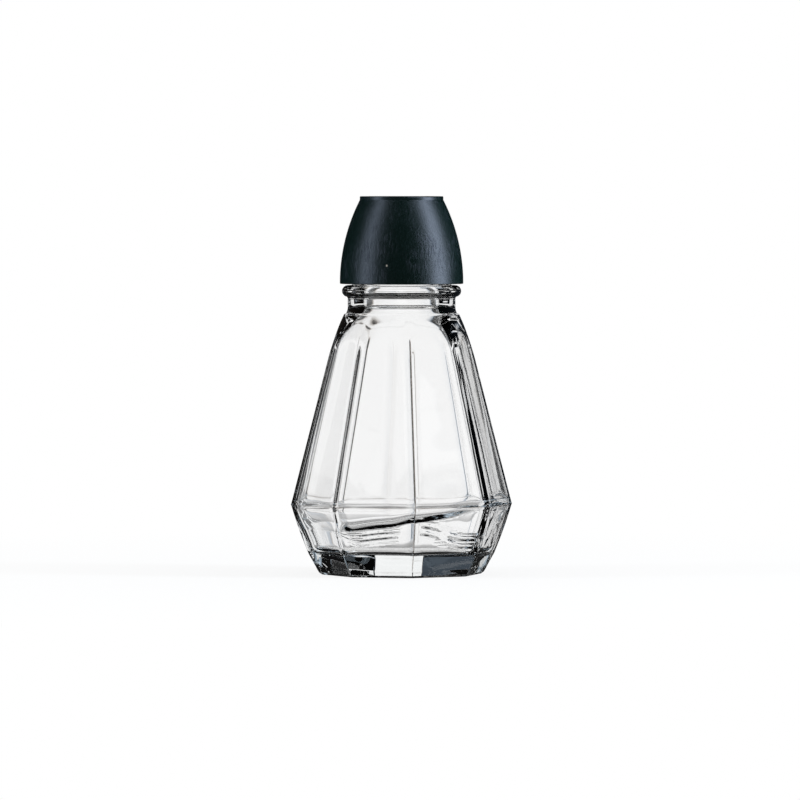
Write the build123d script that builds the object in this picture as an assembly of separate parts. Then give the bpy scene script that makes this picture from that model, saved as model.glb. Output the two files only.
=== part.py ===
from build123d import *

import math
import os

# Salt shaker: an eight-sided pressed-glass bottle with a screw cap in black plastic.
# Millimetres. Z is up, the origin is the centre of the base, and one glass edge points along -Y.

# Glass body, outside: foot, lower facets up to the belt, upper facets up to the neck
facet_count = 8
foot_corner_radius = 22.9
foot_top_corner_radius = 26.1
foot_height = 5.8
foot_bevel = 0.6
belt_corner_radius = 31.1
lower_facet_height = 13.7
upper_facet_height = 54.6
facet_overhang = 2.05
glass_edge_radius = 1.2

# Turned shoulder that rounds off the top of each glass edge, with a small step to the neck
shoulder_arc_height = 13.3
shoulder_arc_bulge = 0.37
shoulder_step_width = 0.55
shoulder_step_height = 0.2
neck_flare_width = 0.45
neck_flare_height = 1.6
neck_flare_hollow = 0.12

# Screw finish, bead and neck: the finish sets the bead's shelf, the bore and the cap
finish_radius = 13.75
finish_wall = 3.25
finish_height = 10.7
lip_round = 0.8
bead_shelf = 1.2
bead_width = 1.65
bead_height = 3.2
neck_height = 3.0

# Glass inside
wall_thickness = 2.6
floor_thickness = 7.0
cavity_edge_radius = 6.0
cavity_floor_round = 3.0
throat_above_neck = 1.1
throat_angle = 32.0
throat_round = 5.0
base_ring_width = 4.1
base_hollow_depth = 1.0

# Screw thread, single start and right-handed
thread_pitch = 4.2
thread_rise = 1.1
thread_root_width = 2.2
thread_crest_width = 1.1
glass_thread_turns = 1.25
glass_thread_above_bead = 3.1
cap_thread_turns = 1.1
cap_thread_start_angle = 90.0
cap_thread_root_width = 1.7
cap_thread_crest_width = 0.8
thread_clearance = 0.25
flank_clearance = 0.15
thread_sink = 0.3

# Cap shell
skirt_gap = 0.4
skirt_wall = 2.05
skirt_lead_in = 0.4
skirt_edge_round = 0.25
crown_height = 10.2
cap_wall = 1.6
cap_taper = 5.55
cap_bulge = 1.43
ledge_width = 2.7

# Sifter plate, snapped into the top of the shell
plate_thickness = 1.0
plate_edge_round = 0.25
dish_margin = 1.2
dish_depth = 0.4
plate_flange = 2.25
plug_wall = 1.1
plug_clearance = 0.05
snap_height = 0.7
snap_rise = 0.3
snap_play = 0.1
pour_hole_radius = 0.95
pour_hole_ring_radius = 5.2
pour_hole_ring_count = 6

# Sealing washer between the glass lip and the shell
washer_thickness = 1.2
washer_overhang = 0.6
washer_play = 0.35
washer_edge = 0.15

# Radii that follow from the sizes above
face_share = math.cos(math.pi / facet_count)
neck_radius = finish_radius + bead_shelf
mouth_radius = finish_radius - finish_wall
shoulder_corner_radius = neck_radius + facet_overhang
base_hollow_radius = (foot_corner_radius - foot_bevel) * face_share - base_ring_width
cap_bore_radius = finish_radius + thread_rise + thread_clearance
cap_radius = cap_bore_radius + skirt_wall
cap_top_radius = cap_radius - cap_taper
crown_hollow_radius = cap_bore_radius - ledge_width
plug_radius = cap_top_radius - plate_flange
plate_hole_radius = plug_radius + plug_clearance

# Heights that follow from the sizes above
belt_z = foot_height + lower_facet_height
neck_z = belt_z + upper_facet_height
flare_z = neck_z - neck_flare_height
step_z = flare_z - shoulder_step_height
shoulder_arc_z = step_z - shoulder_arc_height
throat_z = neck_z + throat_above_neck
bead_bottom_z = neck_z + neck_height
bead_top_z = bead_bottom_z + bead_height
mouth_z = bead_top_z + finish_height
glass_thread_z = bead_top_z + glass_thread_above_bead
skirt_z = bead_top_z + skirt_gap
ledge_z = mouth_z + washer_thickness
crown_ceiling_z = ledge_z + crown_height
plate_seat_z = crown_ceiling_z + cap_wall
cap_top_z = plate_seat_z + plate_thickness

# How far a cutting form runs past the face that it cuts
overrun = 1.0


def turned(outline):
    """A solid of revolution about Z from a closed outline of radius and height."""
    return revolve(Plane.XZ * make_face(outline), Axis.Z)


def drum(radius, bottom_z, height):
    """An upright cylinder on the axis, standing on bottom_z."""
    return Pos(0, 0, bottom_z) * Cylinder(
        radius, height, align=(Align.CENTER, Align.CENTER, Align.MIN)
    )


def bulged_arc(start, end, bulge):
    """The arc from start to end that stands out to the right of its chord by bulge."""
    run = Vector(*end) - Vector(*start)
    side = Vector(run.Y, -run.X).normalized()
    middle = Vector(*start) + run * 0.5 + side * bulge
    return ThreePointArc(start, (middle.X, middle.Y), end)


def facet_ring(z, corner_radius, edge_radius):
    """One level of the eight-sided form, with its corners rounded."""
    ring = RegularPolygon(corner_radius, facet_count)
    return Pos(0, 0, z) * fillet(ring.vertices(), edge_radius)


def upper_corner_radius(z):
    """Corner radius of the leaning facets between the belt and the neck."""
    share = (z - belt_z) / upper_facet_height
    return belt_corner_radius + share * (shoulder_corner_radius - belt_corner_radius)


def lower_corner_radius(z):
    """Corner radius of the facets between the foot and the belt."""
    share = (z - foot_height) / lower_facet_height
    return foot_top_corner_radius + share * (belt_corner_radius - foot_top_corner_radius)


def faceted_body():
    """Foot, lower facets and upper facets, trimmed by the turned shoulder."""
    bevel_share = foot_bevel / foot_height
    bevel_radius = foot_corner_radius + bevel_share * (foot_top_corner_radius - foot_corner_radius)
    levels = [
        (0, foot_corner_radius - foot_bevel),
        (foot_bevel, bevel_radius),
        (foot_height, foot_top_corner_radius),
        (belt_z, belt_corner_radius),
        (neck_z, shoulder_corner_radius),
    ]
    body = loft([facet_ring(z, r, glass_edge_radius) for z, r in levels], ruled=True)

    wide = belt_corner_radius + overrun
    arc_start = (upper_corner_radius(shoulder_arc_z), shoulder_arc_z)
    flare = (neck_radius + neck_flare_width, flare_z)
    step = (flare[0] + shoulder_step_width, step_z)
    neck = (neck_radius, neck_z)
    outline = [
        Polyline((0, neck_z), (0, -overrun), (wide, -overrun), (wide, belt_z), arc_start),
        bulged_arc(arc_start, step, shoulder_arc_bulge),
        Line(step, flare),
        bulged_arc(flare, neck, -neck_flare_hollow),
        Line(neck, (0, neck_z)),
    ]
    return body & turned(outline)


def neck_and_finish():
    """Neck, bead and the plain wall of the screw finish, solid inside."""
    bead_bottom = (neck_radius, bead_bottom_z)
    bead_middle = (neck_radius + bead_width, bead_bottom_z + bead_height / 2)
    bead_top = (neck_radius, bead_top_z)
    lip_outside = (finish_radius, mouth_z - lip_round)
    lip_top = (finish_radius - lip_round, mouth_z)
    outline = [
        Polyline((0, mouth_z), (0, flare_z), (neck_radius, flare_z), bead_bottom),
        ThreePointArc(bead_bottom, bead_middle, bead_top),
        Polyline(bead_top, (finish_radius, bead_top_z), lip_outside),
        JernArc(lip_outside, (0, 1), lip_round, 90),
        Line(lip_top, (0, mouth_z)),
    ]
    return turned(outline)


def thread_ridge(wall_radius, rise, root_width, crest_width, start_z, turns):
    """A trapezoid ridge on a helix. A negative rise points it inwards, as inside a cap."""
    sink = math.copysign(thread_sink, rise)
    helix = Helix(thread_pitch, thread_pitch * turns, wall_radius, center=(0, 0, start_z))
    section = make_face(
        Polyline(
            (-sink, -root_width / 2),
            (rise, -crest_width / 2),
            (rise, crest_width / 2),
            (-sink, root_width / 2),
            close=True,
        )
    )
    start = Plane(origin=helix @ 0, x_dir=(1, 0, 0), z_dir=helix % 0)
    return sweep(start * section, path=helix, is_frenet=True)


def cavity():
    """The space inside the glass: eight-sided below, a turned cone in the throat, then the bore and the lip."""
    wall = wall_thickness / face_share
    levels = [
        (floor_thickness, lower_corner_radius(floor_thickness) - wall),
        (belt_z, belt_corner_radius - wall),
        (throat_z, upper_corner_radius(throat_z) - wall),
    ]
    space = loft([facet_ring(z, r, cavity_edge_radius) for z, r in levels], ruled=True)
    space = fillet(space.faces().sort_by(Axis.Z)[0].edges(), cavity_floor_round)
    above = mouth_z + overrun
    space += drum(neck_radius, throat_z - overrun, above - throat_z + overrun)

    wide = belt_corner_radius
    lean = math.radians(throat_angle)
    cone_end = (wide, throat_z - (wide - mouth_radius) / math.tan(lean))
    bore_end = (mouth_radius, throat_z + throat_round * math.tan(lean / 2))
    lip_inside = (mouth_radius, mouth_z - lip_round)
    lip_top = (mouth_radius + lip_round, mouth_z)
    throat = JernArc(bore_end, (0, -1), throat_round, throat_angle)
    outline = [
        Polyline(lip_top, (lip_top[0], above), (0, above), (0, 0), (wide, 0), cone_end, throat @ 1),
        throat,
        Line(bore_end, lip_inside),
        JernArc(lip_inside, (0, 1), lip_round, -90),
    ]
    return space & turned(outline)


def base_hollow():
    """The shallow hollow pressed into the underside, which leaves a flat ring to stand on."""
    rim = (base_hollow_radius, 0)
    crown = (0, base_hollow_depth)
    sphere_radius = (base_hollow_radius**2 + base_hollow_depth**2) / (2 * base_hollow_depth)
    half_way = math.asin(base_hollow_radius / sphere_radius) / 2
    middle = (
        sphere_radius * math.sin(half_way),
        base_hollow_depth - sphere_radius * (1 - math.cos(half_way)),
    )
    outline = [
        ThreePointArc(crown, middle, rim),
        Polyline(rim, (base_hollow_radius, -overrun), (0, -overrun), crown),
    ]
    return turned(outline)


def glass_bottle():
    """The whole glass as one solid."""
    ridge = thread_ridge(
        finish_radius,
        thread_rise,
        thread_root_width,
        thread_crest_width,
        glass_thread_z,
        glass_thread_turns,
    )
    return faceted_body() + neck_and_finish() + ridge - cavity() - base_hollow()


def dome_circle():
    """Centre and radius, in radius and height, of the circle that the cap's outline follows."""
    run = Vector(cap_top_radius - cap_radius, plate_seat_z - skirt_z)
    circle_radius = (run.length**2 / 4 + cap_bulge**2) / (2 * cap_bulge)
    out = Vector(run.Y, -run.X).normalized()
    middle = Vector(cap_radius, skirt_z) + run * 0.5
    return middle - out * (circle_radius - cap_bulge), circle_radius


def dome(depth, bottom_z, top_z):
    """The cap's domed form between two heights, its outline moved in by depth."""
    centre, circle_radius = dome_circle()

    def on_circle(z):
        return (centre.X + math.sqrt((circle_radius - depth) ** 2 - (z - centre.Y) ** 2), z)

    low = on_circle(bottom_z)
    high = on_circle(top_z)
    outline = [
        Polyline(high, (0, top_z), (0, bottom_z), low),
        ThreePointArc(low, on_circle((bottom_z + top_z) / 2), high),
    ]
    return turned(outline)


def cap_thread():
    """The ridge inside the cap, which lies just under the glass thread when the cap is tight."""
    half_widths = (thread_root_width + cap_thread_root_width) / 2
    below_glass_thread = half_widths + flank_clearance
    lead = thread_pitch * cap_thread_start_angle / 360
    crest_radius = finish_radius + thread_clearance
    ridge = thread_ridge(
        cap_bore_radius,
        crest_radius - cap_bore_radius,
        cap_thread_root_width,
        cap_thread_crest_width,
        glass_thread_z - below_glass_thread + lead,
        cap_thread_turns,
    )
    return Rot(0, 0, cap_thread_start_angle) * ridge


def cap_shell():
    """The moulded cap: domed outside, threaded skirt, washer ledge, hollow crown."""
    shell = dome(0, skirt_z, plate_seat_z)
    skirt_edge = shell.edges().filter_by(GeomType.CIRCLE).sort_by(Axis.Z)[0]
    shell = fillet(skirt_edge, skirt_edge_round)

    bore = drum(cap_bore_radius, skirt_z, ledge_z - skirt_z)
    lead_in = Pos(0, 0, skirt_z) * Cone(
        cap_bore_radius + skirt_lead_in,
        cap_bore_radius,
        skirt_lead_in,
        align=(Align.CENTER, Align.CENTER, Align.MIN),
    )
    crown = drum(crown_hollow_radius, ledge_z, crown_height)
    crown &= dome(cap_wall, ledge_z, crown_ceiling_z)
    plate_hole = drum(plate_hole_radius, crown_ceiling_z, cap_wall)
    return shell - bore - lead_in - crown - plate_hole + cap_thread()


def sifter_plate():
    """The perforated plate: a dished disc with a plug ring that snaps under the shell's top."""
    disc = drum(cap_top_radius, plate_seat_z, plate_thickness)
    disc = fillet(disc.edges().sort_by(Axis.Z)[-1], plate_edge_round)
    dish = drum(cap_top_radius - dish_margin, cap_top_z - dish_depth, dish_depth)

    snap_top = (plug_radius, crown_ceiling_z - snap_play)
    snap_bottom = (plug_radius, snap_top[1] - snap_height)
    snap_middle = (plug_radius + snap_rise, snap_top[1] - snap_height / 2)
    inner_radius = plug_radius - plug_wall
    plug = [
        Line((plug_radius, plate_seat_z), snap_top),
        ThreePointArc(snap_top, snap_middle, snap_bottom),
        Polyline(
            snap_bottom,
            (inner_radius, snap_bottom[1]),
            (inner_radius, plate_seat_z),
            (plug_radius, plate_seat_z),
        ),
    ]

    hole = drum(pour_hole_radius, plate_seat_z, plate_thickness)
    plate = disc - dish + turned(plug) - hole
    for spot in PolarLocations(pour_hole_ring_radius, pour_hole_ring_count):
        plate -= spot * hole
    return plate


def sealing_washer():
    """The soft ring that the cap presses onto the glass lip."""
    inner = mouth_radius + washer_overhang
    outer = cap_bore_radius - washer_play
    outline = Polyline(
        (inner, mouth_z),
        (outer - washer_edge, mouth_z),
        (outer, mouth_z + washer_edge),
        (outer, ledge_z - washer_edge),
        (outer - washer_edge, ledge_z),
        (inner, ledge_z),
        close=True,
    )
    return turned(outline)


def main():
    os.makedirs("parts", exist_ok=True)
    pieces = {
        "glass_bottle": glass_bottle(),
        "cap_shell": cap_shell(),
        "sifter_plate": sifter_plate(),
        "sealing_washer": sealing_washer(),
    }
    for name, piece in pieces.items():
        export_step(piece, f"parts/{name}.step")
        print(name, "solids", len(piece.solids()), "volume", round(piece.volume))


main()
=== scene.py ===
import math

import bpy
import numpy as np
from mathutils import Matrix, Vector


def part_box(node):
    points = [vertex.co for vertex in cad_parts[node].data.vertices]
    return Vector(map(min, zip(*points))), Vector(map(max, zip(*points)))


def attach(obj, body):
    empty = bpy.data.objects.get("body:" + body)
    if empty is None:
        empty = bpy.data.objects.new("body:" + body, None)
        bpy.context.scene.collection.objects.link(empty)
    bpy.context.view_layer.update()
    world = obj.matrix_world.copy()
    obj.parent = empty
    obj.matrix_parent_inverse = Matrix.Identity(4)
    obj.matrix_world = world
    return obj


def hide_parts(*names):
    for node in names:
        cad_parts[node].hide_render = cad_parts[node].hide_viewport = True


# Salt shaker: an eight-sided pressed-glass bottle with a black screw cap, a sifter plate and a washer.
# The glass's lengths are in millimetres. Z is up and one glass edge points along -Y.
MM = 0.001
FACETS = 8
HALF_FACET = math.pi / FACETS
FACE_SHARE = math.cos(HALF_FACET)

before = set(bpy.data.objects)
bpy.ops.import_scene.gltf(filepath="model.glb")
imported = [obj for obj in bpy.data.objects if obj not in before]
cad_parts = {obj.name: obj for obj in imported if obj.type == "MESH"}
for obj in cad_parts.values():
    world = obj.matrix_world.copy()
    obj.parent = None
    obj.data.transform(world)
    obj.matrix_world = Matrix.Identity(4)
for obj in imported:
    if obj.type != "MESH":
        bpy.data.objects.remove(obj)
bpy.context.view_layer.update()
glass_low, glass_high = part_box("glass_bottle")
BELT_CORNER = (glass_high.x - glass_low.x) / 2 / MM
MOUTH_Z = glass_high.z / MM

# Glass outside, up from the base: foot, lower facets, belt, upper facets
HOLLOW_RADIUS = 16.5
HOLLOW_DEPTH = 1.0
BASE_CORNER = 22.3
BASE_RIM = 1.2
FOOT_BEVEL = 0.6
FOOT_ROUND = 0.25
FOOT_CORNER = 23.2
FOOT_Z = 5.8
FOOT_TOP_CORNER = 26.1
FOOT_TOP_ROUND = 0.8
BELT_Z = 19.5
BELT_ROUND = 0.9
SHOULDER_CORNER = 17.0
NECK_Z = 74.1
GLASS_EDGE = 1.2
LOWER_SWELL = 0.22

# Turned shoulder, neck, bead and screw finish
ARC_Z = 59.0
ARC_ENTRY_Z = 55.0
ARC_BULGE = 0.37
ARC_JOIN = 0.1
ARC_SOFTER_JOIN = 0.6
ARC_SOFTER_Z = 67.0
STEP_Z = 72.3
FLARE_Z = 72.5
STEP_RADIUS = 15.95
FLARE_RADIUS = 15.4
FLARE_POWER = 1.6
NECK_RADIUS = 14.95
NECK_START = 0.3
BEAD_RADIUS = 1.6
BEAD_Z = 78.7
FINISH_RADIUS = 13.75
FINISH_ROUND = 0.3
BORE_RADIUS = 10.5
LIP_ROUND = 0.8
LIP_FLAT = 0.01

# Screw thread on the glass
PITCH = 4.2
THREAD_Z = 83.4
THREAD_TURNS = 1.25
THREAD_RISE = 1.1
THREAD_ROOT = 2.2
THREAD_CREST = 1.1

# Glass inside
WALL = 2.6
FLOOR_Z = 7.0
FLOOR_LAST_RING = 0.6
CAVITY_EDGE = 6.0
CAVITY_EDGE_SHARE = 0.7
CAVITY_BELT_ROUND = 5.0
CAVITY_FLOOR_ROUND = 3.0
CAVITY_TURN_JOIN = 1.2
BORE_Z = 76.5
CONE_Z = 74.2
CONE_SLOPE = 0.625
CONE_ROUND = 1.2

# Unevenness of the inside: degrees are from the front rib, and a pair is where a form is nothing and full
SETTLE_RADIUS = 2, 15

# Ripples of the whole inner wall: height, waves round the axis, turn with height, start
RIPPLES = (0.05, 3, 0.11, 0.0), (0.04, 5, -0.07, 1.3)
RIPPLE_LOW = FLOOR_Z, 20
RIPPLE_TOP = 72, 60

# Places where the wall is thinner, or thicker if negative: by how much, middle, width
SIDE_THIN = 1.2, 90, 14
LEFT_RIB_THIN = -0.15, -45, 12
RIGHT_RIB_THIN = 0.3, 45, 16
THIN_LOW = 9, 20
THIN_TOP = 70, 62

# Ledge low down: a sway is how far its foot rises, from and to; a fade is the share it loses, two edges
LEDGE_FOOT = 13.3
LEDGE_SWAYS = (1.1, -45, -15), (1.6, -16, 4), (0.7, 2, 20), (2.0, 16, 42), (-6.0, 70, 165)
LEDGE_TALL = 3.2
LEDGE_DEEP = 1.5
LEDGE_SIDE_SHARE = 0.8
LEDGE_FADES = (0.8, (-43, -50), (-120, -80)), (0.5, (32, 46), (120, 80))

# Folds under the ledge, left of the front rib
FOLD_TALL = 4.3
FOLD_WAVES = 3.0
FOLD_HEIGHT = 0.28
FOLD_FOOT = 0.45
FOLD_LEFT = -56, -38
FOLD_RIGHT = -5, -15
FOLD_TOP = 0, 0.12
FOLD_LOW = 1, 0.9
FOLD_NARROWEST = 0.05

# Curls that drop as they go round, right of the front rib
CURL_Z = 16.8
CURL_DROP = 4.0
CURL_DROPS = 4, 40
CURL_TALL = 5.2
CURL_WAVES = 2.5
CURL_HEIGHT = 0.32
CURL_LEFT = 2, 9
CURL_RIGHT = 52, 44
CURL_TOP = 0, 0.15
CURL_LOW = 1, 0.85
CURL_UNDER_LEDGE = 0, 0.7

# Upright streaks at the curls' right end: waves that lean and sway with height
STREAK_HEIGHT = 0.22
STREAK_PITCH = 7.0
STREAK_LEAN = 0.9
STREAK_SWAY = 0.8
STREAK_SWAY_RATE = 0.7
STREAK_LEFT = 50, 56
STREAK_RIGHT = 105, 90
STREAK_LOW = 8, 10
STREAK_TOP = 19, 17

# Mould seam: on the ribs that face -Y and +Y, and in dashes along the belt and the foot
SEAM_HEIGHT = 0.14
SEAM_WIDTH = 0.14
BACK_SEAM = 0.2
BELT_SEAM = 0.22
FOOT_LINE_Z = 1.6
FOOT_LINE_SHARE = 0.8
SEAM_LOW = 0.8, 3
SEAM_TOP = 66.1, 64.9
DASH_MEAN = 0.55
DASH_SWING = 0.45
DASH_WAVES = 9
DASH_FINE_WAVES = 23
DASH_START = 1

# Mesh of the glass: columns, rings, and how far apart rings are along an outline's runs and its arcs
ARC_COLUMNS = 12
FLAT_COLUMNS = 12
FLAT_BUNCH = 0.11
HOLLOW_RINGS = 18
BEAD_RINGS = 19
FLARE_RINGS = 8
OUTER_STEPS = 0.9, 0.3, 0.5, 0.7, 1.3, 0.32
OUTER_ARC_STEP = 0.1
NECK_STEP = 0.35
FINISH_STEPS = 0.4, 0.2, 0.4
BORE_STEPS = 0.3, 0.6
TURNED_ARC_STEP = 0.15
CAVITY_STEPS = 0.35, 1.2, 0.14, 0.9
CAVITY_ARC_STEP = 0.3


def upper_corner(z):
    """Corner radius of the leaning facets between the belt and the neck."""
    return BELT_CORNER + (z - BELT_Z) / (NECK_Z - BELT_Z) * (SHOULDER_CORNER - BELT_CORNER)


def smooth_step(low, high, x):
    """0 below low, 1 above high, and an even S between."""
    t = np.clip((x - low) / (high - low), 0, 1)
    return t * t * (3 - 2 * t)


def smooth_min(a, b, softness):
    """The smaller of a and b, with the corner between them rounded over softness."""
    share = np.clip(0.5 + 0.5 * (b - a) / softness, 0, 1)
    return a * share + b * (1 - share) - softness * share * (1 - share)


def bell(x, middle, width):
    """1 at the middle, falling to either side as a bell."""
    return np.exp(-(((x - middle) / width) ** 2))


def straight(start, end, step):
    """Even points from start up to but not including end."""
    count = max(1, math.ceil(math.hypot(*(end - start)) / step))
    return start + (end - start) * (np.arange(count) / count)[:, None]


def rounded_path(points, radii, steps, arc_step):
    """Points along straight runs, a step for each, with a tangent arc of each radius at its corner."""
    points = np.array(points, float)
    runs = np.diff(points, axis=0)
    lengths = np.hypot(runs[:, 0], runs[:, 1])
    headings = runs / lengths[:, None]
    pieces = []
    start = points[0]
    for corner, radius, into, out, step in zip(points[1:-1], radii, headings, headings[1:], steps):
        turn = math.atan2(into[0] * out[1] - into[1] * out[0], into @ out)
        back = radius * math.tan(abs(turn) / 2)
        enter = corner - into * back
        pieces.append(straight(start, enter, step))
        if radius:
            side = math.copysign(1, turn) * np.array([-into[1], into[0]])
            centre = enter + side * radius
            count = max(3, math.ceil(radius * abs(turn) / arc_step))
            angles = np.linspace(0, turn, count + 1)[:-1]
            spoke = enter - centre
            pieces.append(centre + np.stack([
                spoke[0] * np.cos(angles) - spoke[1] * np.sin(angles),
                spoke[0] * np.sin(angles) + spoke[1] * np.cos(angles),
            ], axis=1))
        start = corner + out * back
    pieces.append(straight(start, points[-1], steps[-1]))
    pieces.append(points[-1:])
    return np.concatenate(pieces)


def bulged_radius(z, start, end, bulge):
    """Radius at height z of the arc from start to end that stands outside its chord by bulge."""
    (r0, z0), (r1, z1) = start, end
    chord = math.hypot(r1 - r0, z1 - z0)
    radius = chord**2 / (8 * bulge) + bulge / 2
    out_r = (z1 - z0) / chord
    out_z = (r0 - r1) / chord
    centre_r = (r0 + r1) / 2 - out_r * (radius - bulge)
    centre_z = (z0 + z1) / 2 - out_z * (radius - bulge)
    return centre_r + np.sqrt(np.maximum(radius**2 - (z - centre_z) ** 2, 0))


def octagon(corner_radius, edge_radius):
    """Rings of an octagon whose corners are arcs of edge_radius, one ring for each corner radius.

    An arc's point is its centre, on the line to the corner, plus edge_radius along a heading that sweeps
    an eighth of a turn. A face's points run straight between two arcs, close together beside them.
    """
    corner_radius = np.asarray(corner_radius, float)[:, None]
    edge_radius = np.broadcast_to(np.asarray(edge_radius, float), corner_radius.shape[:1])[:, None]
    centre = corner_radius - edge_radius / FACE_SHARE
    swing = np.linspace(-HALF_FACET, HALF_FACET, ARC_COLUMNS + 1)
    arc_x = centre + edge_radius * np.cos(swing)
    arc_y = edge_radius * np.sin(swing)
    next_x = centre * math.cos(2 * HALF_FACET) + edge_radius * math.cos(HALF_FACET)
    next_y = centre * math.sin(2 * HALF_FACET) + edge_radius * math.sin(HALF_FACET)
    even = np.arange(1, FLAT_COLUMNS) / FLAT_COLUMNS
    along = even - FLAT_BUNCH * np.sin(2 * math.pi * even)
    flat_x = arc_x[:, -1:] * (1 - along) + next_x * along
    flat_y = arc_y[:, -1:] * (1 - along) + next_y * along
    x = np.concatenate([arc_x, flat_x], axis=1)
    y = np.concatenate([arc_y, flat_y], axis=1)
    turns = np.arange(FACETS) * 2 * HALF_FACET - math.pi / 2
    ring_x = x[:, None] * np.cos(turns)[:, None] - y[:, None] * np.sin(turns)[:, None]
    ring_y = x[:, None] * np.sin(turns)[:, None] + y[:, None] * np.cos(turns)[:, None]
    rows = len(corner_radius)
    return ring_x.reshape(rows, -1), ring_y.reshape(rows, -1)


def circle_columns(count, corner_radius):
    """The directions of an outside octagon's columns, repeated for count round rings."""
    return octagon(np.full(count, corner_radius), GLASS_EDGE)


def ring_grid(radius, x, y, z):
    """A grid of points: each column keeps its direction from the axis and takes the given radius."""
    reach = np.hypot(x, y)
    heights = np.broadcast_to(z, reach.shape)
    return np.stack([x / reach * radius, y / reach * radius, heights], axis=-1)


def base_hollow():
    """Round rings of the shallow push-up under the base: height falls with the square of the radius."""
    radius = np.linspace(0, HOLLOW_RADIUS, HOLLOW_RINGS)[1:-1]
    z = HOLLOW_DEPTH * (1 - (radius / HOLLOW_RADIUS) ** 2)
    x, y = circle_columns(len(radius), HOLLOW_RADIUS)
    return ring_grid(radius[:, None], x, y, z[:, None])


def outer_outline():
    """Corner radius and height of each ring from the base hollow's edge up to the step under the neck."""
    path = rounded_path(
        [
            (HOLLOW_RADIUS, 0),
            (BASE_CORNER, 0),
            (FOOT_CORNER, FOOT_BEVEL),
            (FOOT_TOP_CORNER, FOOT_Z),
            (BELT_CORNER, BELT_Z),
            (upper_corner(ARC_ENTRY_Z), ARC_ENTRY_Z),
            (upper_corner(STEP_Z), STEP_Z),
        ],
        radii=[FOOT_ROUND, FOOT_ROUND, FOOT_TOP_ROUND, BELT_ROUND, 0],
        steps=OUTER_STEPS,
        arc_step=OUTER_ARC_STEP,
    )
    corner, z = path[:, 0], path[:, 1]
    lower = np.clip((z - FOOT_Z) / (BELT_Z - FOOT_Z), 0, 1)
    return corner + LOWER_SWELL * 4 * lower * (1 - lower), z


def foot_and_facets():
    """Rings from the edge of the base hollow up to the step under the neck.

    A ring is an octagon. Its radius is the smaller of the octagon's own and the turned shoulder's, smoothly
    joined, and the base's rings change evenly from the hollow's circle to the foot's octagon.
    """
    corner, z = outer_outline()
    x, y = octagon(corner, GLASS_EDGE)
    turned = bulged_radius(z, (upper_corner(ARC_Z), ARC_Z), (STEP_RADIUS, STEP_Z), ARC_BULGE)
    turned = np.where(z < ARC_Z, BELT_CORNER * 2, turned)[:, None]
    softness = (ARC_JOIN + ARC_SOFTER_JOIN * smooth_step(ARC_Z, ARC_SOFTER_Z, z))[:, None]
    radius = smooth_min(np.hypot(x, y), turned, softness)
    roundness = np.where(z > 0, 0, smooth_step(BASE_CORNER - BASE_RIM, HOLLOW_RADIUS, corner))[:, None]
    radius = radius * (1 - roundness) + corner[:, None] * roundness
    return ring_grid(radius + seam(x, y, z[:, None]) * SEAM_HEIGHT, x, y, z[:, None])


def seam(x, y, z):
    """Height, from 0 to 1, of the mould seam.

    It is a bell across the ribs at x = 0 that fades out at the foot and the shoulder, and dashes along the
    belt and the foot.
    """
    angle = np.arctan2(y, x)
    upright = bell(x, 0, SEAM_WIDTH) * np.where(y < 0, 1, BACK_SEAM)
    upright = upright * smooth_step(*SEAM_LOW, z) * smooth_step(*SEAM_TOP, z)
    fine = np.sin(DASH_FINE_WAVES * angle + DASH_START)
    dashes = DASH_MEAN + DASH_SWING * np.sin(DASH_WAVES * angle) * fine
    level = np.maximum(bell(z, BELT_Z, BELT_SEAM), FOOT_LINE_SHARE * bell(z, FOOT_LINE_Z, SEAM_WIDTH))
    return np.maximum(upright, level * dashes)


def neck_outline():
    """Radius and height of each ring from the neck's step over the bead to the middle of the lip."""
    swing = np.linspace(-math.pi / 2, math.pi / 2, BEAD_RINGS)[1:-1]
    flare_z = np.linspace(FLARE_Z, NECK_Z, FLARE_RINGS)
    flare_share = ((NECK_Z - flare_z) / (NECK_Z - FLARE_Z)) ** FLARE_POWER
    neck_low = np.array([NECK_RADIUS, NECK_Z + NECK_START])
    neck_top = np.array([NECK_RADIUS, BEAD_Z - BEAD_RADIUS])
    finish = rounded_path(
        [
            (NECK_RADIUS, BEAD_Z + BEAD_RADIUS),
            (FINISH_RADIUS, BEAD_Z + BEAD_RADIUS),
            (FINISH_RADIUS, MOUTH_Z),
            (BORE_RADIUS + LIP_ROUND, MOUTH_Z),
        ],
        radii=[FINISH_ROUND, LIP_ROUND],
        steps=FINISH_STEPS,
        arc_step=TURNED_ARC_STEP,
    )
    return np.concatenate([
        np.stack([NECK_RADIUS + (FLARE_RADIUS - NECK_RADIUS) * flare_share, flare_z], axis=1),
        straight(neck_low, neck_top, NECK_STEP),
        np.stack([NECK_RADIUS + BEAD_RADIUS * np.cos(swing), BEAD_Z + BEAD_RADIUS * np.sin(swing)], axis=1),
        finish[:-1],
    ])


def ridge(angle, z, start_z, turns, root, crest, fade=0.04):
    """Height, from 0 to 1, of a trapezoid ridge on a right-handed helix that starts at angle 0.

    It is 1 within half the crest of the helix's height at that angle, falls straight to 0 at half the root,
    and fades in and out over a share of a turn at its ends.
    """
    height = np.zeros(np.broadcast(angle, z).shape)
    share = (angle / (2 * math.pi)) % 1
    for lap in range(math.ceil(turns)):
        along = share + lap
        offset = np.abs(z - start_z - PITCH * along)
        flank = np.clip((root / 2 - offset) / ((root - crest) / 2), 0, 1)
        ends = smooth_step(0, fade, along) * smooth_step(0, fade, turns - along)
        height = np.maximum(height, flank * ends)
    return height


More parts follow.
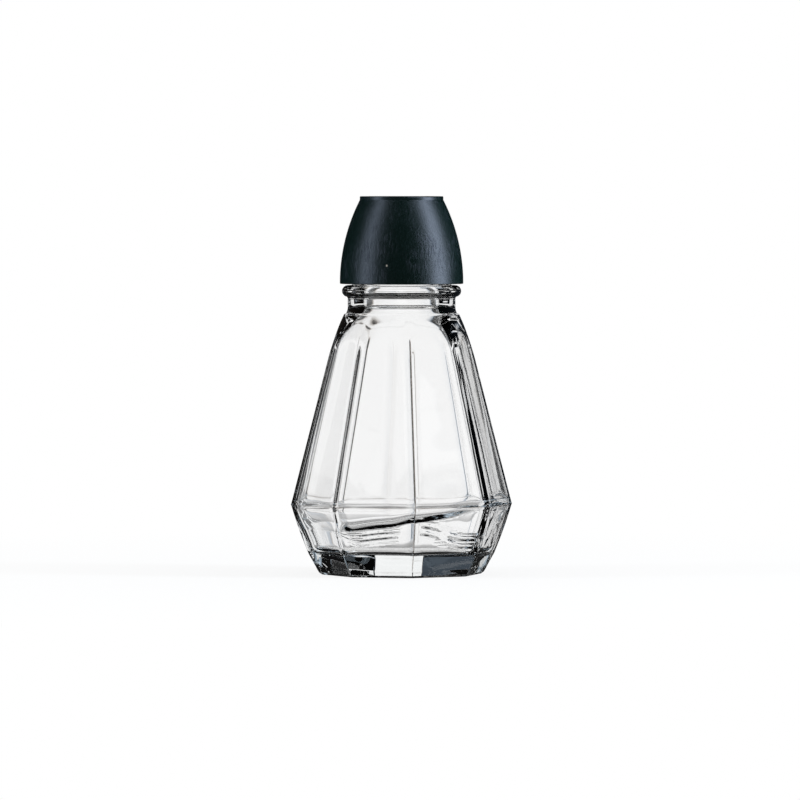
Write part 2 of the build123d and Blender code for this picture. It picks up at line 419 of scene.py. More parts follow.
def neck_and_finish():
    """Round rings from the neck's step over the bead to the lip, with the thread's ridge on them."""
    profile = neck_outline()
    radius, z = profile[:, :1], profile[:, 1:]
    x, y = circle_columns(len(profile), upper_corner(STEP_Z))
    on_wall = (z > BEAD_Z + BEAD_RADIUS) & (z < MOUTH_Z - LIP_ROUND)
    thread = ridge(np.arctan2(y, x), z, THREAD_Z, THREAD_TURNS, THREAD_ROOT, THREAD_CREST)
    return ring_grid(radius + THREAD_RISE * thread * on_wall, x, y, z)


def bore():
    """Round rings from the lip down to the throat. The columns drift to the cavity's spacing."""
    profile = rounded_path(
        [(BORE_RADIUS + LIP_ROUND, MOUTH_Z), (BORE_RADIUS, MOUTH_Z), (BORE_RADIUS, BORE_Z)],
        radii=[LIP_ROUND - LIP_FLAT],
        steps=BORE_STEPS,
        arc_step=TURNED_ARC_STEP,
    )[:-1]
    radius, z = profile[:, :1], profile[:, 1:]
    drift = smooth_step(MOUTH_Z, BORE_Z, z[:, 0])
    edge = GLASS_EDGE + (CAVITY_EDGE - GLASS_EDGE) * drift
    x, y = octagon(np.full(len(z), upper_corner(STEP_Z)), edge)
    return ring_grid(radius, x, y, z)


def inner_shoulder(z):
    """Radius of the turned inside below the mouth: the larger of the bore and a cone, smoothly joined."""
    cone = BORE_RADIUS + (CONE_Z - z) * CONE_SLOPE
    return -smooth_min(-cone, np.full_like(cone, -BORE_RADIUS), CONE_ROUND)


def cavity_outline():
    """Corner radius and height of each ring from the bore down to the middle of the floor."""
    wall = WALL / FACE_SHARE
    lower_slope = (BELT_CORNER - FOOT_TOP_CORNER) / (BELT_Z - FOOT_Z)
    floor_corner = BELT_CORNER - (BELT_Z - FLOOR_Z) * lower_slope - wall
    path = rounded_path(
        [
            (upper_corner(BORE_Z) - wall, BORE_Z),
            (upper_corner(ARC_Z) - wall, ARC_Z),
            (BELT_CORNER - wall, BELT_Z),
            (floor_corner, FLOOR_Z),
            (FLOOR_LAST_RING, FLOOR_Z),
        ],
        radii=[0, CAVITY_BELT_ROUND, CAVITY_FLOOR_ROUND],
        steps=CAVITY_STEPS,
        arc_step=CAVITY_ARC_STEP,
    )
    return path[:, 0], path[:, 1:]


def cavity():
    """Rings from the bore down to the middle of the floor.

    A ring is an octagon with wide rounded corners, no larger than the turned inside, smoothly joined. The
    wall then ripples, and it is thicker or thinner in places, because pressed glass settles unevenly.
    """
    corner, z = cavity_outline()
    x, y = octagon(corner, np.minimum(CAVITY_EDGE, corner * CAVITY_EDGE_SHARE))
    angle = np.arctan2(y, x)
    front = np.degrees((angle + 1.5 * math.pi) % (2 * math.pi) - math.pi)
    radius = smooth_min(np.hypot(x, y), inner_shoulder(z), CAVITY_TURN_JOIN)
    radius = radius + ripple(angle, z)
    radius = radius - settle(front, z) * smooth_step(*SETTLE_RADIUS, radius)
    radius = radius + thinner(front, z)
    return ring_grid(radius, x, y, z)


def ripple(angle, z):
    """Shallow waves of the inner wall, from the floor to the shoulder."""
    waves = sum(height * np.sin(count * angle + turn * z + start) for height, count, turn, start in RIPPLES)
    return waves * smooth_step(*RIPPLE_LOW, z) * smooth_step(*RIPPLE_TOP, z)


def thinner(front, z):
    """How much thinner the wall is at its sides and at the ribs beside the front one."""
    amount, middle, width = SIDE_THIN
    thin = amount * bell(np.abs(front), middle, width)
    for amount, middle, width in LEFT_RIB_THIN, RIGHT_RIB_THIN:
        thin = thin + amount * bell(front, middle, width)
    return thin * smooth_step(*THIN_LOW, z) * smooth_step(*THIN_TOP, z)


def settle(front, z):
    """How far the inner wall stands in low down, where pressed glass settles unevenly."""
    foot = LEDGE_FOOT
    for sway, start, end in LEDGE_SWAYS:
        foot = foot + sway * smooth_step(start, end, front)
    down = foot + LEDGE_TALL - z
    under = down - LEDGE_TALL
    return ledge(front, down) + folds(front, under) + curls(front, z, under) + streaks(front, z)


def ledge(front, down):
    """A ledge that starts softly, leans in ever more steeply and ends at a sharp foot."""
    round_axis = LEDGE_SIDE_SHARE + (1 - LEDGE_SIDE_SHARE) * np.cos(np.radians(front))
    depth = LEDGE_DEEP * np.clip(down / LEDGE_TALL, 0, 1) ** 2 * round_axis
    for share, first, last in LEDGE_FADES:
        depth = depth * (1 - share * smooth_step(*first, front) * smooth_step(*last, front))
    return depth


def folds(front, under):
    """Folds under the ledge, close together at both ends, that end in a smaller ledge."""
    opening = smooth_step(*FOLD_LEFT, front) * smooth_step(*FOLD_RIGHT, front)
    share = under / (FOLD_TALL * np.maximum(opening, FOLD_NARROWEST))
    waves = FOLD_HEIGHT * np.sin(share * FOLD_WAVES * 2 * math.pi) * smooth_step(*FOLD_TOP, share)
    foot = FOLD_FOOT * np.clip(share, 0, 1) ** 3 * (share < 1)
    return (waves * smooth_step(*FOLD_LOW, share) + foot) * opening


def curls(front, z, under):
    """Curls under the ledge that drop in an S as they go round."""
    share = (CURL_Z - CURL_DROP * smooth_step(*CURL_DROPS, front) - z) / CURL_TALL
    waves = CURL_HEIGHT * np.sin(share * CURL_WAVES * 2 * math.pi) * smooth_step(*CURL_TOP, share)
    waves = waves * smooth_step(*CURL_LOW, share) * smooth_step(*CURL_UNDER_LEDGE, under)
    return waves * smooth_step(*CURL_LEFT, front) * smooth_step(*CURL_RIGHT, front)


def streaks(front, z):
    """Upright streaks that lean and sway."""
    lean = STREAK_LEAN * z + STREAK_SWAY * np.sin(STREAK_SWAY_RATE * z)
    waves = STREAK_HEIGHT * np.sin(2 * math.pi * front / STREAK_PITCH + lean)
    waves = waves * smooth_step(*STREAK_LEFT, front) * smooth_step(*STREAK_RIGHT, front)
    return waves * smooth_step(*STREAK_LOW, z) * smooth_step(*STREAK_TOP, z)


def solid_mesh(name, grid, first_pole, last_pole):
    """A closed mesh from rows of rings: quads between the rows, and a fan to a pole at either end."""
    rows, columns = grid.shape[:2]
    index = np.arange(rows * columns).reshape(rows, columns)
    beside = np.roll(index, -1, axis=1)
    first, last = rows * columns, rows * columns + 1
    faces = np.stack([index[:-1], beside[:-1], beside[1:], index[1:]], axis=-1).reshape(-1, 4).tolist()
    faces += np.stack([beside[0], index[0], np.full(columns, first)], axis=-1).tolist()
    faces += np.stack([index[-1], beside[-1], np.full(columns, last)], axis=-1).tolist()
    vertices = np.vstack([grid.reshape(-1, 3), [first_pole, last_pole]])
    mesh = bpy.data.meshes.new(name)
    mesh.from_pydata((vertices * MM).tolist(), [], faces)
    mesh.shade_smooth()
    mesh.validate()
    piece = bpy.data.objects.new(name, mesh)
    bpy.context.scene.collection.objects.link(piece)
    return piece


def make_bottle():
    """The whole glass as one closed shell, from the base's middle over the lip to the cavity's floor."""
    outside = np.concatenate([base_hollow(), foot_and_facets()])
    inside = np.concatenate([neck_and_finish(), bore(), cavity()])
    grid = np.concatenate([outside, inside])
    piece = solid_mesh("bottle_glass", grid, (0, 0, HOLLOW_DEPTH), (0, 0, FLOOR_Z))
    # The seam's height is kept on the glass for the painted shade along the seam
    seam_shade = np.zeros(len(piece.data.vertices))
    seam_shade[:outside.shape[0] * outside.shape[1]] = seam(*outside.reshape(-1, 3).T)
    piece.data.attributes.new("seam", "FLOAT", "POINT").data.foreach_set("value", seam_shade)
    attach(piece, "bottle")
    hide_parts("glass_bottle")
    return piece


# Materials. Places, heights and reaches are in metres, and a pair is where a mask starts and ends.
WHITE = (1.0, 1.0, 1.0, 1.0)
BLACK = (0.0, 0.0, 0.0, 1.0)
# Painted shade: the glass's colour turns dark brown along the mould seam, standing for the dark line its
# ridge shows by bending light
PAINTED_SEAM_SHADE = (0.12, 0.08, 0.05, 1.0)
DEPTH_TINT = (0.78, 0.87, 0.88, 1.0)
PAINTED_GLOW_TINT = (0.75, 0.88, 1.0, 1.0)
# Painted light: the glass glows faintly in the foot's side corners where rays were mirrored too often
GLOW_AFTER_MIRRORS = 3.5
GLOW_ASIDE = 0.0165, 0.019
GLOW_HEIGHT = 0.008, 0.0095
SCUFF_STRETCH = (1.0, 1.0, 0.18)
SCUFF_STREAKS = 0.48, 0.66
SCUFF_PATCHES = 0.42, 0.62
SCUFF_ELSEWHERE = 0.5
SCUFF_ROUGHER = 0.16
SCUFF_HIGHER = 0.8
CAP_BLACK = (0.0003, 0.0035, 0.0025, 1.0)
CAP_MOTTLED = (0.001, 0.0075, 0.006, 1.0)
CAP_SCUFFED = (0.012, 0.016, 0.021, 1.0)
CAP_ROUGHNESS = 0.2, 0.5
RUBBED_SIDE = 27, 0.0888
RUBBED_LEFT = -44, 0.0915
RUBBED_ACROSS = math.radians(4), math.radians(9)
RUBBED_ALONG = 0.004, 0.006
SPECK = (-0.00613, -0.01596, 0.08595)
SPECK_REACH = 0.0002, 0.0004
SPECK_COLOUR = (0.3, 0.27, 0.22, 1.0)
PLATE_BLACK = (0.0022, 0.0075, 0.007, 1.0)
PLATE_SCUFFED = (0.008, 0.012, 0.015, 1.0)
PLATE_ROUGHNESS = 0.24, 0.42
FOAM_DARK = (0.66, 0.65, 0.61, 1.0)
FOAM_LIGHT = (0.77, 0.76, 0.73, 1.0)
FOAM_ROUGHNESS = 0.7, 0.85


def new_material(name):
    """An empty material and its tree."""
    material = bpy.data.materials.new(name)
    material.use_nodes = True
    material.node_tree.nodes.clear()
    return material, material.node_tree


def add(tree, kind, inputs=None, **settings):
    """A node with its settings and inputs, by name or number. An input is a value, or a socket to link."""
    made = tree.nodes.new(kind)
    for key, value in settings.items():
        setattr(made, key, value)
    for key, value in (inputs or {}).items():
        if isinstance(value, bpy.types.NodeSocket):
            tree.links.new(value, made.inputs[key])
        else:
            made.inputs[key].default_value = value
    return made


def maths(tree, operation, first, second=0.0):
    """One maths node's result."""
    return add(tree, "ShaderNodeMath", {0: first, 1: second}, operation=operation).outputs[0]


def fall(tree, value, start, end, low=0.0, high=1.0):
    """high below start, low above end, and an even S between."""
    return add(tree, "ShaderNodeMapRange", {
        "Value": value, "From Min": start, "From Max": end, "To Min": high, "To Max": low,
    }, interpolation_type="SMOOTHSTEP").outputs[0]


def rise(tree, value, start, end):
    """0 below start, 1 above end, and an even S between."""
    return fall(tree, value, start, end, 1.0, 0.0)


def close_to(tree, value, middle, full, none, high=1.0):
    """high within full of the middle, 0 farther off than none, and an even S between."""
    apart = maths(tree, "ABSOLUTE", maths(tree, "SUBTRACT", value, middle))
    return fall(tree, apart, full, none, 0.0, high)


def blend_value(tree, factor, low, high):
    """A number that goes from low to high with factor."""
    return add(tree, "ShaderNodeMix", {"Factor": factor, 2: low, 3: high}).outputs[0]


def blend_colour(tree, factor, low, high):
    """A colour that goes from low to high with factor."""
    return add(tree, "ShaderNodeMix", {"Factor": factor, 6: low, 7: high}, data_type="RGBA").outputs[2]


def noise(tree, place, scale, detail, roughness=0.5):
    """A noise texture's value."""
    inputs = {"Vector": place, "Scale": scale, "Detail": detail, "Roughness": roughness}
    return add(tree, "ShaderNodeTexNoise", inputs).outputs["Fac"]


def painted_corner_glow(tree, place):
    """A mask for a painted glow: rays that were mirrored too often to be followed on, in the foot's two
    side corners.
    """
    mirrored = add(tree, "ShaderNodeLightPath").outputs["Glossy Depth"]
    trapped = maths(tree, "GREATER_THAN", mirrored, GLOW_AFTER_MIRRORS)
    parts = add(tree, "ShaderNodeSeparateXYZ", {"Vector": place}).outputs
    aside = rise(tree, maths(tree, "ABSOLUTE", parts["X"]), *GLOW_ASIDE)
    corner = maths(tree, "MULTIPLY", aside, fall(tree, parts["Z"], *GLOW_HEIGHT))
    return maths(tree, "MULTIPLY", trapped, corner)


def clear_glass():
    """Clear pressed glass: almost colourless, faintly teal in depth, with a fire-polished ripple, painted
    shade along the seam and a painted glow in the foot's corners.
    """
    material, tree = new_material("clear_glass")
    place = add(tree, "ShaderNodeTexCoord").outputs["Object"]
    height = noise(tree, place, scale=60.0, detail=1.0)
    bump = add(tree, "ShaderNodeBump", {"Height": height, "Strength": 0.05, "Distance": 0.002})
    # Painted shade along the mould seam, in the glass's colour
    seam_shade = add(tree, "ShaderNodeAttribute", attribute_name="seam").outputs["Fac"]
    surface = add(tree, "ShaderNodeBsdfPrincipled", {
        "Base Color": blend_colour(tree, seam_shade, WHITE, PAINTED_SEAM_SHADE),
        # Painted light: emission in the foot's corners
        "Emission Color": blend_colour(tree, painted_corner_glow(tree, place), BLACK, PAINTED_GLOW_TINT),
        "Emission Strength": 0.4,
        "Roughness": 0.0,
        "IOR": 1.52,
        "Transmission Weight": 1.0,
        "Normal": bump.outputs["Normal"],
    })
    depth = add(tree, "ShaderNodeVolumeAbsorption", {"Color": DEPTH_TINT, "Density": 4.0})
    add(tree, "ShaderNodeOutputMaterial", {
        "Surface": surface.outputs["BSDF"], "Volume": depth.outputs["Volume"],
    })
    return material


def handling_marks():
    """A shared node group: Scuff masks upright rubbed streaks in patches, and Grain is a fine mottle."""
    group = bpy.data.node_groups.new("handling_marks", "ShaderNodeTree")
    group.interface.new_socket("Vector", in_out="INPUT", socket_type="NodeSocketVector")
    group.interface.new_socket("Scuff", in_out="OUTPUT", socket_type="NodeSocketFloat")
    group.interface.new_socket("Grain", in_out="OUTPUT", socket_type="NodeSocketFloat")
    place = add(group, "NodeGroupInput").outputs["Vector"]
    upright = add(group, "ShaderNodeVectorMath", {0: place, 1: SCUFF_STRETCH}, operation="MULTIPLY")
    rubbed = rise(group, noise(group, upright.outputs[0], scale=1700.0, detail=3.0), *SCUFF_STREAKS)
    patches = rise(group, noise(group, place, scale=110.0, detail=2.0), *SCUFF_PATCHES)
    grain = noise(group, place, scale=1900.0, detail=3.0, roughness=0.7)
    add(group, "NodeGroupOutput", {"Scuff": maths(group, "MULTIPLY", rubbed, patches), "Grain": grain})
    return group


def marks(tree, group, place):
    """The outputs of the shared marks in one material."""
    node = tree.nodes.new("ShaderNodeGroup")
    node.node_tree = group
    tree.links.new(place, node.inputs["Vector"])
    return node.outputs


def rubbed_patch(tree, parts, heading, height):
    """A mask of the cap's wall round one heading, in degrees from -Y, and one height."""
    turned = maths(tree, "ARCTAN2", parts["X"], maths(tree, "MULTIPLY", parts["Y"], -1.0))
    across = close_to(tree, turned, math.radians(heading), *RUBBED_ACROSS)
    return maths(tree, "MULTIPLY", across, close_to(tree, parts["Z"], height, *RUBBED_ALONG))


def cap_plastic(group):
    """Black moulded plastic with a soft sheen, a fine mottle, two rubbed patches and one pale speck."""
    material, tree = new_material("cap_plastic")
    place = add(tree, "ShaderNodeTexCoord").outputs["Object"]
    parts = add(tree, "ShaderNodeSeparateXYZ", {"Vector": place}).outputs
    worn = marks(tree, group, place)
    rubbed_side = rubbed_patch(tree, parts, *RUBBED_SIDE)
    rubbed = maths(tree, "MAXIMUM", rubbed_side, rubbed_patch(tree, parts, *RUBBED_LEFT))
    scuff = maths(tree, "MULTIPLY", worn["Scuff"], blend_value(tree, rubbed, SCUFF_ELSEWHERE, 1.0))
    speck = add(tree, "ShaderNodeVectorMath", {0: place, 1: SPECK}, operation="DISTANCE")
    colour = blend_colour(tree, worn["Grain"], CAP_BLACK, CAP_MOTTLED)
    colour = blend_colour(tree, scuff, colour, CAP_SCUFFED)
    colour = blend_colour(tree, fall(tree, speck.outputs["Value"], *SPECK_REACH), colour, SPECK_COLOUR)
    rougher = maths(tree, "MULTIPLY", scuff, SCUFF_ROUGHER)
    height = maths(tree, "ADD", worn["Grain"], maths(tree, "MULTIPLY", scuff, SCUFF_HIGHER))
    bump = add(tree, "ShaderNodeBump", {"Height": height, "Strength": 0.35, "Distance": 0.0001})
    surface = add(tree, "ShaderNodeBsdfPrincipled", {
        "Base Color": colour,
        "Roughness": maths(tree, "ADD", blend_value(tree, worn["Grain"], *CAP_ROUGHNESS), rougher),
        "Specular IOR Level": 0.5,
        "Normal": bump.outputs["Normal"],
    })
    add(tree, "ShaderNodeOutputMaterial", {"Surface": surface.outputs["BSDF"]})
    return material


def plate_plastic(group):
    """Black moulded plastic, smoother than the cap's, with faint marks and a fine grain."""
    material, tree = new_material("plate_plastic")
    place = add(tree, "ShaderNodeTexCoord").outputs["Object"]
    worn = marks(tree, group, place)
    bump = add(tree, "ShaderNodeBump", {"Height": worn["Grain"], "Strength": 0.15, "Distance": 0.0001})
    surface = add(tree, "ShaderNodeBsdfPrincipled", {
        "Base Color": blend_colour(tree, worn["Scuff"], PLATE_BLACK, PLATE_SCUFFED),
        "Roughness": blend_value(tree, worn["Grain"], *PLATE_ROUGHNESS),
        "Specular IOR Level": 0.5,
        "Normal": bump.outputs["Normal"],
    })
    add(tree, "ShaderNodeOutputMaterial", {"Surface": surface.outputs["BSDF"]})
    return material


def washer_foam():
    """Off-white foamed liner: closed cells under a thin skin, greyer where the skin is thin."""
    material, tree = new_material("washer_rubber")
    place = add(tree, "ShaderNodeTexCoord").outputs["Object"]
    cells = add(tree, "ShaderNodeTexVoronoi", {"Vector": place, "Scale": 2200.0}).outputs["Distance"]
    cloud = noise(tree, place, scale=260.0, detail=3.0)
    bump = add(tree, "ShaderNodeBump", {"Height": cells, "Strength": 0.3, "Distance": 0.0001})
    surface = add(tree, "ShaderNodeBsdfPrincipled", {
        "Base Color": blend_colour(tree, cloud, FOAM_DARK, FOAM_LIGHT),
        "Roughness": blend_value(tree, cells, *FOAM_ROUGHNESS),
        "Specular IOR Level": 0.3,
        "Normal": bump.outputs["Normal"],
    })
    add(tree, "ShaderNodeOutputMaterial", {"Surface": surface.outputs["BSDF"]})
    return material


def dress(piece, material):
    """Gives a piece its one material."""
    piece.data.materials.clear()
    piece.data.materials.append(material)


# Studio lights by turn (0 is straight behind) and height (Z of the direction). A pair is a fading edge.
STUDIO_TURN = math.radians(-7)
EDGE_FADE = math.radians(1.5)
WALL_HALF = math.radians(14)
WINDOW_TURN, WINDOW_HALF = math.radians(36), math.radians(10)
WINDOW_Z, WINDOW_TALL = 0.095, (0.035, 0.05)
BAND_Z, BAND_TALL = 0.31, (0.045, 0.055)
DIM_TURN, DIM_HALF = math.radians(-26), math.radians(8)
DIM_LIGHT = 0.085
DIM_TOP = 0.11, 0.13
INNER_LIGHT = 0.85
BENT_SOFT = math.radians(3), math.radians(13)
BENT_HARD = math.radians(14), math.radians(18)
BENT_TOP = 0.36, 0.5
BENT_GREY = 0.95
CEILING = 0.42, 0.5
CEILING_LIGHT = 0.01
OUTER_MIRROR = 0.04
DIFFUSE_LIGHT = 0.6
WARM_GREY = (1.0, 0.88, 0.76, 1.0)
COOL_GREY = (0.6, 0.78, 1.0, 1.0)
SIDE_SPREAD = math.radians(14)

# Two counts of the renderer's depths: none yet, and through both walls of the bottle
NONE_YET = 0.5
BOTH_WALLS = 2.5

# The cap's sheen: an even dim light and two tall strips, each with its turn, half width and strength
CAP_DIM = 0.012
CAP_TINT = (0.66, 0.77, 1.0, 1.0)
LEFT_STRIP = math.radians(-109), math.radians(11), 4.0
RIGHT_STRIP = math.radians(103), math.radians(15), 8.0
STRIP_FADE = math.radians(8)

# Floor, in metres
FLOOR_HALF = 6.0
FLOOR_DROP = 0.00002
FLOOR_GREY = (0.9, 0.9, 0.9, 1.0)
FLOOR_NEAR, FLOOR_FAR = 0.05, 0.25
FLOOR_GLOW = 0.85
# Painted shadow: the floor's glow, as rays off or through the glass see it, is darker under the base and in
# a fan behind it
UNDER_EDGE = 0.0205, 0.0225
UNDER_LIGHT = 0.45
UNDER_MIRRORED = 0.02
BENT_DOWN_EDGE = 0.0225, 0.13
BENT_DOWN_LIGHT = 0.3
BENT_MIDDLE_EDGE = 0.017, 0.021
BENT_MIDDLE_LIGHT = 0.5
FAN_TURN = math.radians(2)
FAN_EDGE = math.radians(50), math.radians(56)
FAN_LIGHT, BESIDE_FAN_LIGHT = 0.02, 0.9

# Lamps: only matt surfaces and the floor's shadow show them
LAMP_AIM = Vector((0, 0, 0.06))
LAMP_TINT = (0.8, 0.9, 1.0)


def ray_kinds(tree, path):
    """Three masks: rays that never entered the glass, were never mirrored, and passed both walls."""
    outer = maths(tree, "LESS_THAN", path["Transmission Depth"], NONE_YET)
    no_mirror = maths(tree, "LESS_THAN", path["Glossy Depth"], NONE_YET)
    both_walls = maths(tree, "GREATER_THAN", path["Transmission Depth"], BOTH_WALLS)
    return outer, no_mirror, both_walls


def cap_light(tree, angle):
    """What the sheen of the cap meets: an even dim light with a tall soft strip at each side."""
    level = CAP_DIM
    for middle, half, strength in LEFT_STRIP, RIGHT_STRIP:
        strip = close_to(tree, angle, middle, half - STRIP_FADE, half + STRIP_FADE, strength)
        level = maths(tree, "MAXIMUM", level, strip)
    return level


def dim_light(tree, angle, height):
    """A low dim stretch beside the middle."""
    dim = close_to(tree, angle, DIM_TURN, DIM_HALF - EDGE_FADE, DIM_HALF, DIM_LIGHT)
    return maths(tree, "MULTIPLY", dim, fall(tree, height, *DIM_TOP))


def wall_light(tree, angle, height, dim, both_walls):
    """White walls with dark gaps, in which stand a window, a high band and a dim stretch.

    A ray that passed both walls of the bottle meets light in the gaps too.
    """
    quarter = maths(tree, "PINGPONG", angle, 2 * HALF_FACET)
    walls = fall(tree, quarter, WALL_HALF - EDGE_FADE, WALL_HALF + EDGE_FADE)
    across = close_to(tree, angle, WINDOW_TURN, WINDOW_HALF - EDGE_FADE, WINDOW_HALF + EDGE_FADE)
    window = maths(tree, "MULTIPLY", across, close_to(tree, height, WINDOW_Z, *WINDOW_TALL))
    band = close_to(tree, height, BAND_Z, *BAND_TALL)
    for light in window, band, dim, maths(tree, "MULTIPLY", both_walls, INNER_LIGHT):
        walls = maths(tree, "MAXIMUM", walls, light)
    return walls


def backdrop_light(tree, angle, height):
    """A white backdrop that is dark where a ray was bent far, to a side or up."""
    eighth = maths(tree, "PINGPONG", angle, HALF_FACET)
    backdrop = fall(tree, eighth, *BENT_SOFT, BENT_GREY)
    for edge in fall(tree, eighth, *BENT_HARD), fall(tree, height, *BENT_TOP):
        backdrop = maths(tree, "MULTIPLY", backdrop, edge)
    return backdrop


def through_light(tree, path, direction):
    """The strength and colour of what a mirrored or bent ray meets in a direction.

    A ray that passed both walls of the bottle without being mirrored meets the backdrop. One mirrored by an
    outer surface meets an even dim light, or the cap's strips if the surface is rough. The rest, mirrored
    inside the glass or bent through its solid parts, meet the walls. A dark ceiling hangs over all but the
    strips. Greys are warm to the left and cool to the right.
    """
    parts = add(tree, "ShaderNodeSeparateXYZ", {"Vector": direction}).outputs
    angle = maths(tree, "ADD", maths(tree, "ARCTAN2", parts["X"], parts["Y"]), STUDIO_TURN)
    outer, no_mirror, both_walls = ray_kinds(tree, path)
    dim = dim_light(tree, angle, parts["Z"])
    walls = wall_light(tree, angle, parts["Z"], dim, both_walls)
    level = blend_value(tree, outer, walls, OUTER_MIRROR)
    see_through = maths(tree, "MULTIPLY", no_mirror, both_walls)
    level = blend_value(tree, see_through, level, backdrop_light(tree, angle, parts["Z"]))
    level = maths(tree, "MULTIPLY", level, fall(tree, parts["Z"], *CEILING, CEILING_LIGHT))
    side = rise(tree, angle, -SIDE_SPREAD, SIDE_SPREAD)
    side = maths(tree, "MAXIMUM", side, maths(tree, "GREATER_THAN", dim, DIM_LIGHT / 2))
    tint = blend_colour(tree, level, blend_colour(tree, side, WARM_GREY, COOL_GREY), WHITE)
    sheen = maths(tree, "MULTIPLY", outer, maths(tree, "SUBTRACT", 1.0, path["Is Singular Ray"]))
    level = blend_value(tree, sheen, level, cap_light(tree, angle))
    return level, blend_colour(tree, sheen, tint, CAP_TINT)


def make_world():
    """White to the camera, the studio through and off the glass, and an even light for matt surfaces."""
    world = bpy.data.worlds.new("studio")
    bpy.context.scene.world = world
    world.use_nodes = True
    tree = world.node_tree
    tree.nodes.clear()
    direction = add(tree, "ShaderNodeTexCoord").outputs["Generated"]
    path = add(tree, "ShaderNodeLightPath").outputs
    studio, colour = through_light(tree, path, direction)
    seen = maths(tree, "MAXIMUM", path["Is Glossy Ray"], path["Is Transmission Ray"])
    level = blend_value(tree, seen, DIFFUSE_LIGHT, studio)
    level = blend_value(tree, path["Is Camera Ray"], level, 1.0)
    light = add(tree, "ShaderNodeBackground", {
        "Color": blend_colour(tree, seen, WHITE, colour), "Strength": level,
    })
    add(tree, "ShaderNodeOutputWorld", {"Surface": light.outputs["Background"]})


def under_light(tree, path, place, away):
    """How bright the floor near the shaker looks to a ray off or through the glass.

    Its glow is darker under the base, as a painted shadow. A ray that passed both walls meets a brighter
    middle and a slow rise away from the base, and one mirrored in the solid parts meets a painted dark fan
    behind the shaker.
    """
    outer, no_mirror, both_walls = ray_kinds(tree, path)
    painted_shadow = blend_value(tree, no_mirror, UNDER_MIRRORED, UNDER_LIGHT)
    level = fall(tree, away, *UNDER_EDGE, 1.0, painted_shadow)
    bent_down = fall(tree, away, *BENT_DOWN_EDGE, 1.0, BENT_DOWN_LIGHT)
    middle = fall(tree, away, *BENT_MIDDLE_EDGE, 0.0, BENT_MIDDLE_LIGHT)
    bent_down = maths(tree, "MAXIMUM", bent_down, middle)
    level = blend_value(tree, maths(tree, "MULTIPLY", no_mirror, both_walls), level, bent_down)
    mirrored = maths(tree, "SUBTRACT", 1.0, no_mirror)
    bounced = maths(tree, "MULTIPLY", mirrored, maths(tree, "SUBTRACT", 1.0, both_walls))
    parts = add(tree, "ShaderNodeSeparateXYZ", {"Vector": place}).outputs
    turned = maths(tree, "ADD", maths(tree, "ARCTAN2", parts["X"], parts["Y"]), FAN_TURN)
    fan = fall(tree, maths(tree, "ABSOLUTE", turned), *FAN_EDGE, BESIDE_FAN_LIGHT, FAN_LIGHT)
    level = maths(tree, "MULTIPLY", level, blend_value(tree, bounced, 1.0, fan))
    return blend_value(tree, outer, level, OUTER_MIRROR)


def floor_white():
    """A plain white floor that keeps a faint shadow. Far off it turns into the studio."""
    material, tree = new_material("floor_white")
    place = add(tree, "ShaderNodeTexCoord").outputs["Object"]
    path = add(tree, "ShaderNodeLightPath").outputs
    camera = path["Is Camera Ray"]
    away = add(tree, "ShaderNodeVectorMath", {0: place}, operation="LENGTH").outputs["Value"]
    far = add(tree, "ShaderNodeMapRange", {
        "Value": away, "From Min": FLOOR_NEAR, "From Max": FLOOR_FAR,
    }).outputs[0]
    studio, colour = through_light(tree, path, place)
    shown_near = blend_value(tree, camera, under_light(tree, path, place, away), 1.0)
    shown_far = blend_value(tree, camera, studio, 1.0)
    white = maths(tree, "MAXIMUM", camera, maths(tree, "SUBTRACT", 1.0, far))
    glow = add(tree, "ShaderNodeEmission", {
        "Color": blend_colour(tree, white, colour, WHITE),
        "Strength": blend_value(tree, far, shown_near, shown_far),
    })
    diffuse = add(tree, "ShaderNodeBsdfDiffuse", {"Color": FLOOR_GREY})
    seen = maths(tree, "MAXIMUM", path["Is Glossy Ray"], path["Is Transmission Ray"])
    seen = maths(tree, "MAXIMUM", camera, seen)
    shadowless = blend_value(tree, camera, 1.0, blend_value(tree, far, FLOOR_GLOW, 1.0))
    share = maths(tree, "MULTIPLY", seen, shadowless)
    mix = add(tree, "ShaderNodeMixShader", {0: share, 1: diffuse.outputs[0], 2: glow.outputs[0]})
    add(tree, "ShaderNodeOutputMaterial", {"Surface": mix.outputs[0]})
    return material


def make_floor():
    """A wide square just under the base."""
    signs = (-1, -1), (1, -1), (1, 1), (-1, 1)
    corners = [(x * FLOOR_HALF, y * FLOOR_HALF, -FLOOR_DROP) for x, y in signs]
    mesh = bpy.data.meshes.new("floor")
    mesh.from_pydata(corners, [], [(0, 1, 2, 3)])
    floor = bpy.data.objects.new("floor", mesh)
    bpy.context.scene.collection.objects.link(floor)
    dress(floor, floor_white())


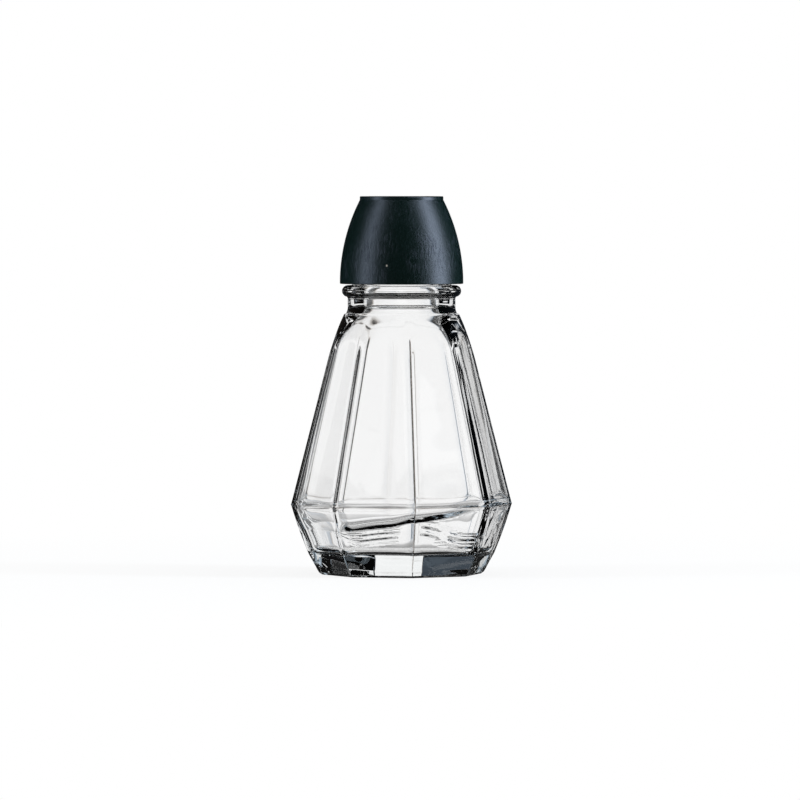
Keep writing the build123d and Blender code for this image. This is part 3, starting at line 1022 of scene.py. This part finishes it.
def soft_box(name, azimuth, elevation, distance, width, height, power):
    """A soft area lamp, turned to the middle of the shaker. Azimuth 0 is the -Y side."""
    lamp = bpy.data.lights.new(name, "AREA")
    lamp.shape = "RECTANGLE"
    lamp.size, lamp.size_y = width, height
    lamp.energy = power
    lamp.color = LAMP_TINT
    box = bpy.data.objects.new(name, lamp)
    bpy.context.scene.collection.objects.link(box)
    a, e = math.radians(azimuth), math.radians(elevation)
    away = Vector((math.sin(a) * math.cos(e), -math.cos(a) * math.cos(e), math.sin(e)))
    box.location = LAMP_AIM + away * distance
    box.rotation_euler = (-away).to_track_quat("-Z", "Y").to_euler()
    box.visible_camera = False
    box.visible_transmission = False
    box.visible_glossy = False


# Camera, in millimetres: the photograph's view, from far away and slightly above the middle
CAMERA_AZIMUTH = math.radians(-7)
CAMERA_DISTANCE = 2100
CAMERA_Z = 113
AIM_Z = 48.4
AIM_LEFT = 0.44
FRAME_WIDTH = 222.2
SENSOR = 36
CLIP = 0.1, 50


def make_camera():
    """A long lens that frames FRAME_WIDTH at the shaker."""
    data = bpy.data.cameras.new("camera")
    data.sensor_width = SENSOR
    data.lens = SENSOR * CAMERA_DISTANCE / FRAME_WIDTH
    data.clip_start, data.clip_end = CLIP
    camera = bpy.data.objects.new("camera", data)
    bpy.context.scene.collection.objects.link(camera)
    out = Vector((math.sin(CAMERA_AZIMUTH), -math.cos(CAMERA_AZIMUTH), 0))
    left = Vector((-math.cos(CAMERA_AZIMUTH), -math.sin(CAMERA_AZIMUTH), 0))
    camera.location = (out * CAMERA_DISTANCE + left * AIM_LEFT + Vector((0, 0, CAMERA_Z))) * MM
    aim = (left * AIM_LEFT + Vector((0, 0, AIM_Z))) * MM
    camera.rotation_euler = (aim - camera.location).to_track_quat("-Z", "Y").to_euler()
    bpy.context.scene.camera = camera


make_camera()
make_world()
make_floor()
soft_box("left_box", azimuth=-81, elevation=14, distance=1.0, width=0.25, height=0.3, power=6.5)
soft_box("right_box", azimuth=66, elevation=14, distance=1.0, width=0.2, height=0.3, power=11.5)
bottle = make_bottle()
dress(bottle, clear_glass())
worn_group = handling_marks()
dress(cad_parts["cap_shell"], cap_plastic(worn_group))
dress(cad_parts["sifter_plate"], plate_plastic(worn_group))
dress(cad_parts["sealing_washer"], washer_foam())
bpy.context.scene.view_settings.view_transform = "Standard"
